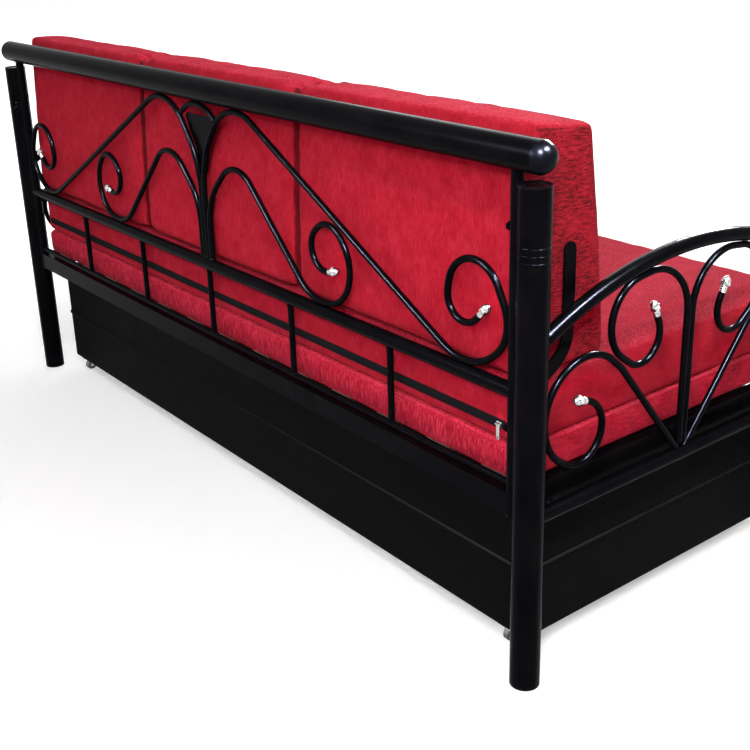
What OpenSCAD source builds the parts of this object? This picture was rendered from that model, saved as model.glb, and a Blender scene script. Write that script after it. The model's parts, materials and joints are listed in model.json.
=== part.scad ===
/* [Frame] */
// Distance between the left and right post centres
frame_l = 1900; // [1600:10:2200]
// Distance between the front and rear post centres
frame_d = 750; // [700:5:850]
// Clearance between pieces that seat on one another
fit_gap = 0.3; // [0.2:0.05:0.5]

/* [Posts] */
// Outside diameter of the four posts
post_d = 50.8; // [45:0.1:56]
// Wall of the post tube
post_wall = 1.6; // [1.2:0.1:2.5]
// Height of the rear posts with their caps
rear_post_h = 845; // [800:1:855]
// Height of the front posts with their caps
front_post_h = 660; // [640:1:720]
// Rim height of the plastic post caps
cap_rim_h = 3; // [2:0.5:6]
// Depth of the plug of a cap or a foot inside its tube
plug_h = 18; // [10:1:30]
// Height of the plastic feet under the posts
foot_h = 5; // [3:0.5:10]
// Height of the middle ring groove above the floor
groove_z = 745; // [700:1:770]
// Spacing of the three ring grooves
groove_pitch = 11; // [6:0.5:15]
// Width of one ring groove
groove_w = 2.4; // [1:0.1:3]

/* [Back rest] */
// Outside diameter of the top tube
top_tube_d = 50.8; // [45:0.1:56]
// Wall of the top tube
top_tube_wall = 1.6; // [1.2:0.1:2.5]
// Height of the top tube's axis
top_tube_z = 884.5; // [884:0.5:960]
// Overhang of the top tube past the post centres, up to the rim of its caps
top_tube_over = 13; // [0:1:40]
// Depth of the domed end caps
dome_h = 20; // [12:0.5:24]
// Diameter of the side bars beside the rear posts
side_bar_d = 20; // [16:0.5:25]
// Height of the lower ends of the side bars
side_bar_z = 300; // [200:1:330]
// Diameter of the lower rail of the back
lower_rail_d = 25.4; // [20:0.1:32]
// Wall of the lower rail
lower_rail_wall = 1.5; // [1:0.1:2.5]
// Height of the lower rail's axis
lower_rail_z = 516; // [480:1:540]
// Diameter of every bent rod and baluster
rod_d = 12; // [10:0.5:14]
// Number of balusters
baluster_count = 5; // [3:1:9]
// Spacing of the balusters
baluster_pitch = 305.5; // [150:0.5:400]
// Height of the bottom rod's axis above the rear rail
bottom_rod_rise = 12; // [7:0.5:20]
// Radius of the outer scrolls' curls
outer_curl_r = 105; // [90:1:110]
// Radius of the outer scrolls' crests
outer_crest_r = 112; // [100:1:118]
// Radius of the inner scrolls' curls
inner_curl_r = 96; // [84:1:100]
// Radius of the inner scrolls' crests
inner_crest_r = 74; // [64:1:80]
// Radius of the arch between the outer scrolls
arch_r = 100; // [90:1:110]
// Thickness of the plate at the middle of the back
plate_t = 3; // [2:0.5:5]
// Width of the plate at its top
plate_w = 116; // [90:1:120]
// Height of the plate
plate_h = 120; // [90:1:140]

/* [Arms] */
// Diameter of the arched arm tubes
arm_d = 25.4; // [22:0.1:32]
// Wall of the arm tubes
arm_wall = 1.5; // [1:0.1:2.5]
// Radius of the arm tubes' arch
arm_arc_r = 760; // [700:5:900]
// Height of the arm tubes' axis at the crest
arm_crest_z = 687; // [670:1:720]
// Diameter of the rails under the arms
arm_rail_d = 25.4; // [20:0.1:30]
// Wall of the rails under the arms
arm_rail_wall = 1.5; // [1:0.1:2.5]
// Height of the curls beside the posts above the arm rail
arm_low_rise = 46; // [40:1:52]
// Radius of the loops under the arm tube
arm_loop_r = 93; // [84:1:96]
// Spacing of the diagonal rods' feet on the arm rail
arm_foot_pitch = 26; // [20:1:40]

/* [Finials] */
// Straight ends of the outer curls and of the arms' loops, before their nuts
curl_tail = 12; // [4:1:16]
// Diameter of the domed nuts
nut_d = 15.5; // [13:0.5:18]
// Diameter of the sleeves under the nuts
sleeve_d = 11; // [8:0.5:12]
// Length of the sleeves
sleeve_h = 13; // [6:0.5:16]

/* [Cushion stops] */
// Width of the flat bars
stop_w = 25; // [18:1:30]
// Thickness of the flat bars
stop_t = 3; // [2:0.5:5]
// Height of their upper ends
stop_top_z = 733; // [680:1:780]
// Height at which they start to bend to the rear
stop_bend_z = 590; // [580:1:620]
// Radius of that bend
stop_bend_r = 60; // [50:1:66]
// Distance from the side bars' axis to the middle of the straight
stop_reach = 110.5; // [100:0.5:118]

/* [Seat] */
// Height of the underside of the seat rails
seat_z = 304; // [300:1:306]
// Height of the seat rails
seat_rail_h = 40; // [36:1:50]
// Width of the seat rails
seat_rail_w = 20; // [16:1:25]
// Wall of the seat rails
seat_rail_wall = 1.5; // [1.2:0.1:2.5]
// Width of the slats
slat_w = 60; // [40:1:80]
// Thickness of the slats
slat_t = 9; // [6:0.5:15]
// Number of slats
slat_count = 13; // [8:1:16]
// Width of the ledges that carry the slats
ledge_w = 15; // [10:1:20]
// Thickness of those ledges
ledge_t = 3; // [2:0.5:5]

/* [Bolts] */
// Diameter of the bolts
bolt_d = 8; // [6:0.5:10]
// Width of the hexagon heads across their corners
bolt_head_d = 15; // [12:0.5:18]
// Thickness of the heads
bolt_head_h = 5.5; // [4:0.5:7]
// Height of the bolts near the top of the side bars
bolt_top_z = 775; // [760:1:800]
// Height of the bolts below the arms
bolt_low_z = 450; // [400:1:480]

/* [Cushions] */
// Gap between each end of the cushions and the cushion stop there
cushion_end_gap = 2.3; // [1:0.1:40]
// Depth of the seat cushions
seat_cushion_d = 755; // [700:1:765]
// Distance from the post centre line to the rear of the seat cushions
seat_cushion_back = 15; // [15:1:40]
// Thickness of the lower pad
pad_h = 64; // [50:1:70]
// Thickness of the upper mattress
mattress_h = 118; // [100:1:124]
// Radius of the cushions' edges
cushion_edge_r = 16; // [12:1:20]
// Swell of the mattress top above its edges
crown_h = 9; // [4:0.5:14]
// Depth by which the sides of the cushions are drawn in
draw_in = 5; // [2:0.5:8]
// Height of the back cushion at its rear
back_h = 403; // [370:1:420]
// Thickness of the back cushion at its foot
back_foot_t = 196; // [170:1:220]
// Thickness of the back cushion at its top
back_top_t = 124; // [100:1:160]
// Distance from the post centre line to the rear of the back cushion's foot
back_cushion_back = 14; // [14:1:30]
// Distance by which its rear leans forward on the way up
back_lean = 23; // [20:1:40]
// Drop of its top from the rear edge to the front edge
back_drop = 16; // [8:1:24]
// Depth of the sewn channels between the sections
channel_depth = 14; // [6:1:20]
// Swell of each section's top
section_swell = 6; // [4:1:12]

/* [Zip] */
// Height of the zip's middle above the mattress underside
zip_rise = 32; // [28:1:44]
// Width of the zip tape
zip_tape_w = 16; // [10:1:20]
// Thickness of the zip tape
zip_tape_t = 0.8; // [0.6:0.1:1.5]
// Width of the row of teeth
zip_teeth_w = 5; // [3:0.5:7]
// Thickness of the row of teeth
zip_teeth_t = 1.8; // [1:0.1:2.5]
// Distance of each end of the zip from the end of the mattress
zip_inset = 35; // [25:1:60]
// Width of the slider
slider_w = 9; // [7:0.5:12]
// Length of the slider
slider_l = 11; // [8:0.5:16]
// Length of the slider's pull tab
tab_l = 26; // [15:1:35]
// Width of the pull tab
tab_w = 7; // [5:0.5:9]

/* [Storage box] */
// Height of the box bottom above the floor
box_z = 34; // [32:1:38]
// Height of the box walls
box_h = 253; // [220:1:258]
// Gap between the box and the posts at each side
box_side_gap = 24.6; // [20:0.1:50]
// Distance from the post centre line to the rear of the box
box_back = 49; // [40:1:80]
// Depth of the box from front to back
box_d = 696; // [600:1:720]
// Thickness of the box walls
box_wall = 12; // [9:0.5:18]
// Thickness of the box floor
box_floor_t = 9; // [6:0.5:15]
// Thickness of the lift-out top boards
lid_t = 15; // [9:0.5:18]
// Diameter of the finger holes in the top boards
finger_d = 32; // [25:1:45]
// Width of the raised bead around the box
bead_w = 13; // [8:0.5:20]
// Depth of the bead
bead_t = 3; // [2:0.5:5]
// Height of the bead's middle above the box bottom
bead_rise = 130; // [90:1:160]
// Length of the pull handles
handle_l = 140; // [100:5:200]
// Reach of the pull handles
handle_reach = 27; // [20:1:35]
// Diameter of the pull handles
handle_d = 10; // [8:0.5:12]
// Height of the pull handles above the box bottom
handle_rise = 186; // [170:1:206]
// Diameter of the nylon guide studs on the box ends
stud_d = 17; // [12:1:24]
// Reach of the guide studs
stud_reach = 15; // [8:1:18]
// Thickness of the lugs that carry the upper studs
lug_t = 3; // [2:0.5:5]

/* [Casters] */
// Diameter of the caster wheels
wheel_d = 28; // [20:0.5:28.5]
// Width of the caster wheels
wheel_w = 14; // [10:0.5:18]
// Diameter of the caster axles
axle_d = 5; // [4:0.5:6]
// Thickness of the caster brackets
bracket_t = 2; // [1.5:0.5:3]
// Distance of the casters from the box ends
caster_end = 50; // [40:1:80]
// Distance of the casters from the box's front and rear
caster_side = 18; // [18:1:50]

/* [Hidden] */
$fn = 48;

paint = [0.07, 0.07, 0.08];
red = [0.68, 0.12, 0.18];
chrome = [0.8, 0.8, 0.82];
plastic = [0.05, 0.05, 0.05];
board = [0.09, 0.09, 0.1];
timber = [0.72, 0.58, 0.4];

// One overrun serves every cut
cut = 5;

// Places worked out from the sizes above. Left is the sitter's left, at plus X.
post_x = frame_l / 2;
rear_y = frame_d / 2;
post_r = post_d / 2;
rod_r = rod_d / 2;
bar_x = post_x - post_r - side_bar_d / 2 - fit_gap;
bar_in = bar_x - side_bar_d / 2;
tube_under = top_tube_z - top_tube_d / 2;
tube_end = post_x + top_tube_over - cap_rim_h;
rail_top = lower_rail_z + lower_rail_d / 2;
seat_top = seat_z + seat_rail_h;
bottom_rod_z = seat_top + bottom_rod_rise;
groove_depth = groove_w / 3;

// Scroll rods are chains of circles [across, up, radius, turn] joined by straights.
// Each curl's circles are shares of its radius, measured inwards and upwards from the
// curl's outermost and lowest points.
outer_curl_shares = [
    [0.924, 0.981, 0.371], [0.705, 1.067, 0.571], [0.667, 0.79, 0.667], [0.933, 1, 1]
];
inner_curl_shares = [
    [0.771, 1.07, 0.43], [0.646, 1.07, 0.51], [0.792, 0.802, 0.792], [0.948, 1, 1]
];
// A crest's two circles: place across, drop of the centre below the crest, radius
outer_crest_shares = [[1.34, 1, 1], [1.786, 1.643, 1.786]];
inner_crest_shares = [[1.824, 1, 1], [1.784, 1.892, 1.784]];
// Curls beside the posts and loops below the arm tube
arm_curl_shares = [[0.857, 0.591, 0.591], [1, 0.985, 1], [1.043, 0.703, 1.184]];
arm_loop_shares = [[1.245, -0.384, 0.487], [1.288, 0, 0.767], [1, -0.2, 1]];
// Outer edge of the inner curls as a share of the side bar's place
inner_reach_share = 0.555;
// Crest of the inner scrolls as a share of the height between lower rail and tube
inner_crest_share = 0.64;
// Radius of the arms' lower curls as a share of the width from post to arm middle
arm_curl_share = 5 / 19;

outer_start = -45;
inner_start = -75;
arm_curl_start = 75;
arm_loop_start = 25;

crest_z = tube_under - fit_gap - rod_r;
curl_z = rail_top + fit_gap + rod_r;
outer_curl_x = bar_in - fit_gap - rod_r;
inner_curl_x = bar_in * inner_reach_share;
inner_crest_z = curl_z + inner_crest_share * (crest_z - curl_z);
leg_1_x = rod_r + fit_gap / 2;
leg_2_x = leg_1_x + rod_d + fit_gap;

function curl(shares, r, edge, low) =
    [for (s = shares) [edge - s[0] * r, low + s[1] * r, s[2] * r, -1]];
function crest(shares, r, top, leg) = [
    [shares[0][0] * r, top - shares[0][1] * r, shares[0][2] * r, 1],
    [leg + shares[1][2] * r, top - shares[1][1] * r, shares[1][2] * r, 1]
];
outer_circles = concat(
    curl(outer_curl_shares, outer_curl_r, outer_curl_x, curl_z),
    crest(outer_crest_shares, outer_crest_r, crest_z, leg_1_x)
);
inner_circles = concat(
    curl(inner_curl_shares, inner_curl_r, inner_curl_x, curl_z),
    crest(inner_crest_shares, inner_crest_r, inner_crest_z, leg_2_x)
);

// The arm's own plane runs forward from the rear post's axis, and up
arm_mid = rear_y;
arm_hub_z = arm_crest_z - arm_arc_r;
arm_sweep = asin(arm_mid / arm_arc_r);
arm_rail_z = seat_z;
arm_rail_top = arm_rail_z + arm_rail_d / 2;
arm_low_curl_r = (arm_mid - post_r) * arm_curl_share;
arm_low_circles = [for (s = arm_curl_shares) [
    post_r + fit_gap + rod_r + s[0] * arm_low_curl_r,
    arm_rail_top + arm_low_rise + rod_r + s[1] * arm_low_curl_r,
    s[2] * arm_low_curl_r, -1
]];
arm_foot = [arm_mid - arm_foot_pitch / 2, arm_rail_top + fit_gap];
arm_leg = arm_mid - rod_r - fit_gap / 2;
// The second circle of a loop touches the inside of the arched tube
arm_loop_v = arm_leg - arm_loop_shares[1][0] * arm_loop_r;
arm_loop_reach = arm_arc_r - arm_d / 2 - fit_gap - rod_r - arm_loop_shares[1][2] * arm_loop_r;
arm_loop_z = arm_hub_z + sqrt(pow(arm_loop_reach, 2) - pow(arm_mid - arm_loop_v, 2));
arm_loop_circles = [for (s = arm_loop_shares)
    [arm_leg - s[0] * arm_loop_r, arm_loop_z + s[1] * arm_loop_r, s[2] * arm_loop_r, -1]];

// Angle from 0 to 360 with whole turns left out
function wrap(a) = a - 360 * floor(a / 360);
// Heading of the straight that leaves circle a and meets circle b
function heading(a, b) = atan2(b[1] - a[1], b[0] - a[0])
    - asin((b[3] * b[2] - a[3] * a[2]) / norm([b[0] - a[0], b[1] - a[1]]));
// Angle on circle c at which a straight of that heading touches it
function touch(c, way) = way - 90 * c[3];
function spot(c, a) = [c[0] + c[2] * cos(a), c[1] + c[2] * sin(a)];

// A loop's straight leg ends just above the diagonal rod that runs to the foot
arm_way = heading(arm_low_circles[2], [arm_foot[0], arm_foot[1], 0, -1]);
arm_leg_z = arm_foot[1]
    + (rod_r + fit_gap + (arm_leg - rod_r - arm_foot[0]) * sin(arm_way)) / cos(arm_way);

// A straight rod between two points of the drawing plane. Its ends stop a hair short
// inside small balls, which carry it into the bends.
module rod(p, q, d = rod_d) {
    run = q - p;
    hair = d / 100;
    translate([p[0], p[1], 0]) rotate([0, 90, atan2(run[1], run[0])]) {
        translate([0, 0, hair]) cylinder(d = d, h = norm(run) - 2 * hair);
        for (z = [0, norm(run)]) translate([0, 0, z]) sphere(d = d + hair);
    }
}

// The same with its second end cut square
module end_rod(p, q, d = rod_d) {
    run = q - p;
    hair = d / 100;
    translate([p[0], p[1], 0]) rotate([0, 90, atan2(run[1], run[0])]) {
        translate([0, 0, hair]) cylinder(d = d, h = norm(run) - hair);
        sphere(d = d + hair);
    }
}

// A round bend of a rod about circle c
module bend(c, from, sweep, d = rod_d) {
    translate([c[0], c[1], 0])
        rotate([0, 0, from])
            rotate_extrude(angle = sweep)
                translate([c[2], 0])
                    circle(d = d);
}

// A rod that runs from one circle to the next along their common tangents
module rod_path(circles, first, last, d = rod_d) {
    n = len(circles) - 1;
    ways = [for (i = [0:n - 1]) heading(circles[i], circles[i + 1])];
    for (i = [0:n]) {
        c = circles[i];
        from = i == 0 ? first : touch(c, ways[i - 1]);
        to = i == n ? last : touch(c, ways[i]);
        bend(c, c[3] > 0 ? from : to, c[3] > 0 ? wrap(to - from) : wrap(from - to), d);
        if (i < n)
            rod(spot(c, to), spot(circles[i + 1], touch(circles[i + 1], ways[i])), d);
    }
}

// The back's drawing plane stands at the rear posts; an arm's stands at its posts
module in_back() {
    translate([0, rear_y, 0]) rotate([90, 0, 0]) children();
}

module in_arm() {
    translate([post_x, rear_y, 0]) rotate([90, 0, -90]) children();
}

module at_side(side) {
    if (side > 0) children();
    else mirror([1, 0, 0]) children();
}

module both_sides() {
    for (side = [-1, 1]) at_side(side) children();
}

module at_front(front) {
    if (front) mirror([0, 1, 0]) children();
    else children();
}

module four_corners() {
    for (front = [false, true]) both_sides() at_front(front) children();
}

module pipe_x(d, wall, h) {
    rotate([0, 90, 0])
        difference() {
            cylinder(d = d, h = h, center = true);
            cylinder(d = d - 2 * wall, h = h + 2 * cut, center = true);
        }
}

// Box between two corners
module block(low, high) {
    translate(low) cube(high - low);
}

// Bolts hold the side bars to the posts
module bolt_bores() {
    bore = bolt_d + 2 * fit_gap;
    for (z = [bolt_low_z, bolt_top_z])
        translate([bar_in - cut, rear_y, z])
            rotate([0, 90, 0]) cylinder(d = bore, h = post_x - bar_in + cut);
}

// Rear and front posts
module post(h) {
    body_h = h - cap_rim_h - fit_gap - foot_h - fit_gap;
    translate([post_x, rear_y, foot_h + fit_gap])
        difference() {
            cylinder(d = post_d, h = body_h);
            translate([0, 0, -cut])
                cylinder(d = post_d - 2 * post_wall, h = body_h + 2 * cut);
        }
}

module rear_post(side) {
    color(paint) at_side(side)
        difference() {
            post(rear_post_h);
            for (i = [-1:1])
                translate([post_x, rear_y, groove_z + i * groove_pitch])
                    rotate_extrude()
                        translate([post_r + groove_w / 2 - groove_depth, 0])
                            circle(d = groove_w, $fn = 24);
            bolt_bores();
        }
}

module front_post(side) {
    color(paint) at_side(side) at_front(true) post(front_post_h);
}

module plug(rim_h) {
    cylinder(d = post_d, h = rim_h);
    translate([0, 0, -plug_h]) cylinder(d = post_d - 2 * post_wall - 2 * fit_gap, h = plug_h);
}

module post_caps() {
    color(plastic) for (front = [false, true]) both_sides() at_front(front)
        translate([post_x, rear_y, (front ? front_post_h : rear_post_h) - cap_rim_h])
            difference() {
                plug(cap_rim_h);
                // Shallow dish inside the rim
                translate([0, 0, cap_rim_h / 2])
                    cylinder(d = post_d - 4 * post_wall, h = cap_rim_h);
            }
}

module post_feet() {
    color(plastic) four_corners()
        translate([post_x, rear_y, foot_h]) mirror([0, 0, 1]) plug(foot_h);
}

// Top tube with its domed caps
module top_tube() {
    color(paint) translate([0, rear_y, top_tube_z])
        pipe_x(top_tube_d, top_tube_wall, 2 * (tube_end - fit_gap));
}

module top_tube_caps() {
    r = top_tube_d / 2;
    ball_r = (pow(r, 2) + pow(dome_h, 2)) / (2 * dome_h);
    color(plastic) both_sides()
        translate([tube_end, rear_y, top_tube_z]) rotate([0, 90, 0]) {
            cylinder(d = top_tube_d, h = cap_rim_h);
            translate([0, 0, -plug_h])
                cylinder(d = top_tube_d - 2 * top_tube_wall - 2 * fit_gap, h = plug_h);
            intersection() {
                translate([0, 0, cap_rim_h + dome_h - ball_r]) sphere(r = ball_r);
                translate([0, 0, cap_rim_h]) cylinder(r = r + cut, h = dome_h + cut);
            }
        }
}

module side_bar(side) {
    color(paint) at_side(side)
        difference() {
            translate([bar_x, rear_y, side_bar_z])
                cylinder(d = side_bar_d, h = top_tube_z - side_bar_z);
            translate([bar_x, rear_y, top_tube_z])
                rotate([0, 90, 0])
                    cylinder(d = top_tube_d + 2 * fit_gap, h = side_bar_d + cut, center = true);
            bolt_bores();
        }
}

module side_bar_room() {
    both_sides() translate([bar_x, rear_y, side_bar_z])
        cylinder(d = side_bar_d + 2 * fit_gap, h = top_tube_z - side_bar_z);
}

module lower_rail() {
    color(paint) difference() {
        translate([0, rear_y, lower_rail_z])
            pipe_x(lower_rail_d, lower_rail_wall, 2 * bar_x);
        side_bar_room();
    }
}

module bottom_rod() {
    color(paint) difference() {
        translate([0, rear_y, bottom_rod_z])
            rotate([0, 90, 0]) cylinder(d = rod_d, h = 2 * bar_x, center = true);
        side_bar_room();
    }
}

module balusters() {
    color(paint) difference() {
        for (i = [0:baluster_count - 1])
            translate([(i - (baluster_count - 1) / 2) * baluster_pitch, rear_y, bottom_rod_z])
                cylinder(d = rod_d, h = lower_rail_z - bottom_rod_z);
        translate([0, rear_y, lower_rail_z])
            rotate([0, 90, 0])
                cylinder(d = lower_rail_d + 2 * fit_gap, h = frame_l, center = true);
        translate([0, rear_y, bottom_rod_z])
            rotate([0, 90, 0])
                cylinder(d = rod_d + 2 * fit_gap, h = frame_l, center = true);
    }
}

// End of a rod that runs straight on for a length before the start of circle c
function tail_end(c, start, tail) = spot(c, start) + tail * [-sin(start), cos(start)];

// Scrolls of the back
module back_scroll(side, circles, start, leg, tail = 0) {
    color(paint) at_side(side) in_back() {
        if (tail > 0) end_rod(spot(circles[0], start), tail_end(circles[0], start, tail));
        rod_path(circles, start, 180);
        end_rod(spot(circles[len(circles) - 1], 180), [leg, rail_top + fit_gap]);
    }
}

module outer_scroll(side) {
    back_scroll(side, outer_circles, outer_start, leg_1_x, curl_tail);
}

module inner_scroll(side) {
    back_scroll(side, inner_circles, inner_start, leg_2_x);
}

// The arch's ends seat beside the outer scrolls' crests, at its inner edge
module centre_arch() {
    c = outer_circles[len(outer_circles) - 2];
    z = crest_z - arch_r;
    edge_r = arch_r - rod_r;
    seat_r = c[2] + rod_r + fit_gap;
    reach = norm([c[0], c[1] - z]);
    from = atan2(c[1] - z, c[0]) + acos((pow(edge_r, 2) + pow(reach, 2) - pow(seat_r, 2))
        / (2 * edge_r * reach));
    color(paint) in_back() bend([0, z, arch_r, 1], from, 180 - 2 * from);
}

module centre_plate() {
    // Half outline of the shield, in shares of its half width and its height
    shield_shares = [[0.14, 0], [0.25, 0.1], [0.42, 0.42], [0.8, 0.72], [1, 0.95], [0.88, 1]];
    top = crest_z - 2 * rod_d;
    half = [for (s = shield_shares) [s[0] * plate_w / 2, top - plate_h + s[1] * plate_h]];
    other = [for (i = [len(half) - 1:-1:0]) [-half[i][0], half[i][1]]];
    color(paint) in_back()
        translate([0, 0, rod_r + fit_gap]) linear_extrude(plate_t) polygon(concat(half, other));
}

// Domed nut on a sleeve, at the free end of a curl
module finial(c, start, tail = 0) {
    p = tail_end(c, start, tail);
    translate([p[0], p[1], 0]) rotate([0, 90, start + 90])
        translate([0, 0, fit_gap]) {
            cylinder(d = sleeve_d, h = sleeve_h + nut_d / 4, $fn = 32);
            translate([0, 0, sleeve_h]) cylinder(d = nut_d, h = nut_d / 2, $fn = 32);
            translate([0, 0, sleeve_h + nut_d / 2])
                intersection() {
                    sphere(d = nut_d, $fn = 32);
                    cylinder(d = nut_d + cut, h = nut_d);
                }
        }
}

module back_finials() {
    color(chrome) both_sides() in_back() {
        finial(outer_circles[0], outer_start, curl_tail);
        finial(inner_circles[0], inner_start);
    }
}

// Arms
module post_room() {
    for (front = [false, true]) at_front(front)
        translate([post_x, rear_y, 0]) cylinder(d = post_d + 2 * fit_gap, h = rear_post_h);
}

module arm_tube(side) {
    color(paint) at_side(side)
        difference() {
            in_arm() translate([arm_mid, arm_hub_z, 0])
                rotate([0, 0, 90 - arm_sweep])
                    rotate_extrude(angle = 2 * arm_sweep, $fn = 180)
                        translate([arm_arc_r, 0])
                            difference() {
                                circle(d = arm_d, $fn = 48);
                                circle(d = arm_d - 2 * arm_wall, $fn = 48);
                            }
            post_room();
        }
}

module arm_rail(side) {
    color(paint) at_side(side)
        difference() {
            translate([post_x, 0, arm_rail_z]) rotate([0, 0, 90])
                pipe_x(arm_rail_d, arm_rail_wall, frame_d);
            post_room();
        }
}

module arm_scrolls(side) {
    c = arm_low_circles[len(arm_low_circles) - 1];
    leave = touch(c, arm_way);
    color(paint) at_side(side) for (front = [false, true]) at_front(front)
        difference() {
            in_arm() {
                rod_path(arm_low_circles, arm_curl_start, leave);
                end_rod(spot(c, leave), arm_foot + rod_d * [cos(arm_way), sin(arm_way)]);
            }
            // The foot is cut flat above the rail
            block([0, 0, 0], [frame_l, rear_y, arm_foot[1]]);
        }
}

module arm_loops(side) {
    c = arm_loop_circles[len(arm_loop_circles) - 1];
    color(paint) at_side(side) for (front = [false, true]) at_front(front)
        in_arm() {
            first = arm_loop_circles[0];
            end_rod(spot(first, arm_loop_start), tail_end(first, arm_loop_start, curl_tail));
            rod_path(arm_loop_circles, arm_loop_start, 0);
            end_rod(spot(c, 0), [arm_leg, arm_leg_z]);
        }
}

module arm_finials() {
    color(chrome) four_corners() in_arm() {
        finial(arm_low_circles[0], arm_curl_start);
        finial(arm_loop_circles[0], arm_loop_start, curl_tail);
    }
}

// Flat bars that stop the back cushion at its ends: upright, then bent back to the side bars
module cushion_stops() {
    slope = 30;
    half = stop_w / 2;
    hub = [stop_reach - stop_bend_r, stop_bend_z];
    way = [-cos(slope), -sin(slope)];
    run = (hub[0] + stop_bend_r * sin(slope)) / cos(slope);
    outer = [for (a = [0:-10:slope - 90]) hub + (stop_bend_r + half) * [cos(a), sin(a)]];
    inner = [for (a = [slope - 90:10:0]) hub + (stop_bend_r - half) * [cos(a), sin(a)]];
    top = [for (a = [180:-20:0]) [stop_reach, stop_top_z - half] + half * [cos(a), sin(a)]];
    outline = concat(top, outer, [outer[len(outer) - 1] + run * way, inner[0] + run * way], inner);
    color(paint) both_sides() difference() {
        translate([bar_x + 2 * stop_t, rear_y, 0]) rotate([90, 0, -90])
            linear_extrude(stop_t) polygon(outline);
        side_bar_room();
        translate([0, rear_y, 0]) cube([frame_l, frame_d, 2 * stop_bend_z]);
    }
}

// Seat frame. The side rails lie against the posts, the front rail between them.
seat_out = post_x - post_r - fit_gap;
seat_in = seat_out - seat_rail_w;
bar_front = rear_y - side_bar_d / 2 - fit_gap;

// A rectangular tube along X
module seat_tube_x(half_l) {
    difference() {
        block([-half_l, -seat_rail_w / 2, seat_z], [half_l, seat_rail_w / 2, seat_top]);
        block([-half_l - cut, -seat_rail_w / 2 + seat_rail_wall, seat_z + seat_rail_wall],
            [half_l + cut, seat_rail_w / 2 - seat_rail_wall, seat_top - seat_rail_wall]);
    }
}

module rear_rail() {
    color(paint) difference() {
        translate([0, rear_y, 0]) seat_tube_x(bar_x);
        side_bar_room();
    }
}

module seat_front_rail() {
    color(paint) translate([0, -rear_y, 0]) seat_tube_x(seat_out);
}

// The side rails run from the front rail to the side bars
module seat_rail(side) {
    low_y = -rear_y + seat_rail_w / 2 + fit_gap;
    color(paint) at_side(side)
        difference() {
            block([seat_in, low_y, seat_z], [seat_out, bar_front, seat_top]);
            block([seat_in + seat_rail_wall, low_y - cut, seat_z + seat_rail_wall],
                [seat_out - seat_rail_wall, bar_front + cut, seat_top - seat_rail_wall]);
        }
}

ledge_z = seat_top - slat_t - fit_gap - ledge_t;
slat_y = rear_y - seat_rail_w / 2 - fit_gap;

module slat_ledges() {
    half_l = seat_in - ledge_w;
    color(paint) for (front = [false, true]) at_front(front)
        block([-half_l, slat_y - ledge_w, ledge_z], [half_l, slat_y, ledge_z + ledge_t]);
}

module seat_slats() {
    first = -seat_in + slat_w;
    pitch = (2 * seat_in - 2 * slat_w) / (slat_count - 1);
    color(timber) for (i = [0:slat_count - 1])
        translate([first + i * pitch, 0, 0])
            block([-slat_w / 2, -slat_y + fit_gap, seat_top - slat_t],
                [slat_w / 2, slat_y - fit_gap, seat_top]);
}

// Bolt with a hexagon head inside the frame, its shank through the wall of the post
module bolt(x_in) {
    shank = post_x - post_r + 2 * post_wall - x_in;
    rotate([0, 90, 0]) {
        cylinder(d = bolt_d, h = shank, $fn = 24);
        translate([0, 0, -bolt_head_h - fit_gap])
            cylinder(d = bolt_head_d, h = bolt_head_h, $fn = 6);
        translate([0, 0, -fit_gap]) cylinder(d = bolt_d, h = fit_gap, $fn = 24);
    }
}

module frame_bolts() {
    color(plastic) both_sides() for (z = [bolt_low_z, bolt_top_z])
        translate([bar_in, rear_y, z]) bolt(bar_in);
}

// Soft pieces are rings of points, joined along their length. A section runs round
// counter-clockwise with the rear at the right.
corner_steps = 4;
top_steps = 10;
side_steps = 4;
function mix(a, b, t) = a + (b - a) * t;
function corner(y, z, r, from) =
    [for (i = [0:corner_steps]) let (a = from + 90 * i / corner_steps)
        [y + r * cos(a), z + r * sin(a)]];
// Share of the draw-in at t, from -1 at the lower seam to 1 at the upper
function drawn(t) = 1 - pow(t, 4);
function section(y0, y1, z0, z1, r, crown, draw) = concat(
    corner(y0 + r, z0 + r, r, 180),
    corner(y1 - r, z0 + r, r, 270),
    [for (i = [1:side_steps - 1])
        [y1 - draw * drawn(2 * i / side_steps - 1), mix(z0 + r, z1 - r, i / side_steps)]],
    corner(y1 - r, z1 - r, r, 0),
    [for (i = [1:top_steps - 1]) let (t = 1 - 2 * i / top_steps)
        [mix(y0 + r, y1 - r, (1 + t) / 2), z1 + crown * (1 - pow(abs(t), 6))]],
    corner(y0 + r, z1 - r, r, 90),
    [for (i = [1:side_steps - 1])
        [y0 + draw * drawn(2 * i / side_steps - 1), mix(z1 - r, z0 + r, i / side_steps)]]
);

// Skin over rings that follow one another along X, closed by a point at each end
module loft(rings, first_tip, last_tip) {
    n = len(rings[0]);
    m = len(rings);
    last = n * (m - 1);
    points = concat([for (ring = rings) each ring], [first_tip, last_tip]);
    sides = [for (i = [0:m - 2]) for (j = [0:n - 1])
        let (a = i * n + j, b = i * n + (j + 1) % n)
        each [[a, a + n, b + n], [a, b + n, b]]];
    first_cap = [for (j = [0:n - 1]) [n * m, j, (j + 1) % n]];
    last_cap = [for (j = [0:n - 1]) [n * m + 1, last + (j + 1) % n, last + j]];
    polyhedron(points, concat(sides, first_cap, last_cap));
}

// Stations of a rounded end: distance in from the end face and inset of the section
function end_steps(r) = [for (a = [90, 60, 30, 0]) [r * (1 - sin(a)), r * (1 - cos(a))]];
function flip(list) = [for (i = [len(list) - 1:-1:0]) list[i]];
// Drawn-in end face: the end ring shrunk towards its middle
function shrunk(ring, mid, share, x) =
    [for (p = ring) [x, mix(mid[0], p[1], share), mix(mid[1], p[2], share)]];

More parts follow.
